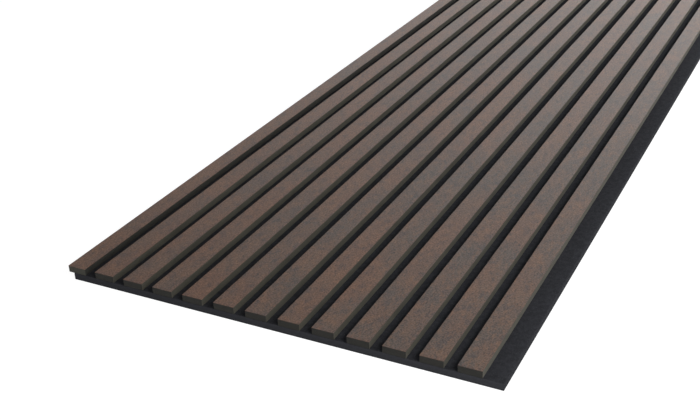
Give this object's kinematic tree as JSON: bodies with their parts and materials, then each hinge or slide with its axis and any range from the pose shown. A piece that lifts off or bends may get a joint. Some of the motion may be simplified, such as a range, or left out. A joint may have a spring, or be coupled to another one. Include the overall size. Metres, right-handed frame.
{
  "type": "acoustic slat wall panel",
  "caption": "Long slatted wall panel: laminated fibreboard slats on black felt, with an overhanging slat on one side and a bare felt lip on the other that lap at the joint.",
  "frame": {"origin": "middle of the underside of the whole panel's box, on the wall side of the felt", "axes": "+X across the slats from the overhanging slat to the bare felt lip, +Y along the slats away from the end that the picture shows, +Z out of the wall through the slats' faces"},
  "size_m": [0.6082, 2.4, 0.0195],
  "materials": {
    "decor_face": "matt laminate with a mottled rust-brown and blue-grey oxidised-metal decor",
    "fibreboard_core": "dark through-dyed fibreboard, sawn sides, olive grey",
    "felt": "needled polyester felt, near black",
    "staple_wire": "galvanised flat wire"
  },
  "bodies": {
    "root": {"felt_back": "felt", "slat_01_core": "fibreboard_core", "slat_01_face": "decor_face", "slat_02_core": "fibreboard_core", "slat_02_face": "decor_face", "slat_03_core": "fibreboard_core", "slat_03_face": "decor_face", "slat_04_core": "fibreboard_core", "slat_04_face": "decor_face", "slat_05_core": "fibreboard_core", "slat_05_face": "decor_face", "slat_06_core": "fibreboard_core", "slat_06_face": "decor_face", "slat_07_core": "fibreboard_core", "slat_07_face": "decor_face", "slat_08_core": "fibreboard_core", "slat_08_face": "decor_face", "slat_09_core": "fibreboard_core", "slat_09_face": "decor_face", "slat_10_core": "fibreboard_core", "slat_10_face": "decor_face", "slat_11_core": "fibreboard_core", "slat_11_face": "decor_face", "slat_12_core": "fibreboard_core", "slat_12_face": "decor_face", "slat_13_core": "fibreboard_core", "slat_13_face": "decor_face", "staples": "staple_wire"}
  },
  "joints": []
}
